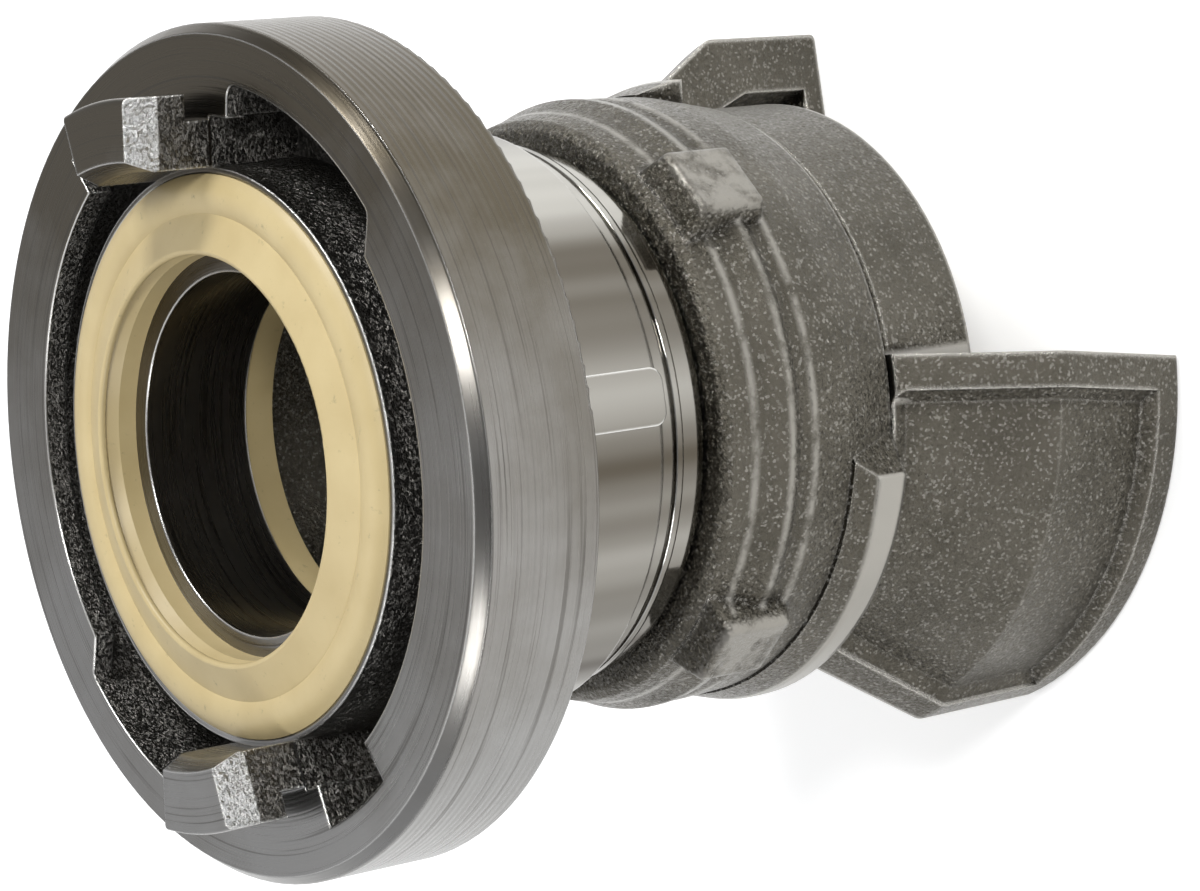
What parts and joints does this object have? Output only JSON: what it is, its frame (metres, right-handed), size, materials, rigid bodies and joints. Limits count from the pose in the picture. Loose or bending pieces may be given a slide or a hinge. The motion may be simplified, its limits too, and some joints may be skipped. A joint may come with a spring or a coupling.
{
  "type": "quarter turn fire hose coupling adapter",
  "caption": "Aluminium fire hose adapter with a hooked-lug quarter turn head, a clawed quarter turn half and a locking ring with ramps and spanner lugs between them.",
  "frame": {"origin": "on the coupling axis, in the plane of the claw feet that the adapter stands on", "axes": "+Z along the coupling axis towards the lugged head, +X through the middle of one hooked lug"},
  "size_m": [0.098, 0.098, 0.1178],
  "materials": {
    "cast_and_turned_aluminium": "turned bright on the ring and neck, cast between",
    "cast_aluminium": "fine sand casting, matt",
    "cream_rubber": "smooth moulded"
  },
  "bodies": {
    "adapter": {"claw_body": "cast_aluminium", "lug_head": "cast_and_turned_aluminium", "socket_gasket": "cream_rubber", "face_seal": "cream_rubber", "tail_seal": "cream_rubber"},
    "ring": {"locking_ring": "cast_aluminium"}
  },
  "joints": [
    {"name": "ring_turn", "type": "hinge", "parent": "adapter", "child": "ring", "pos_m": [0, 0, 0.05], "axis": [0, 0, -1], "range_deg": [0, 90]}
  ]
}
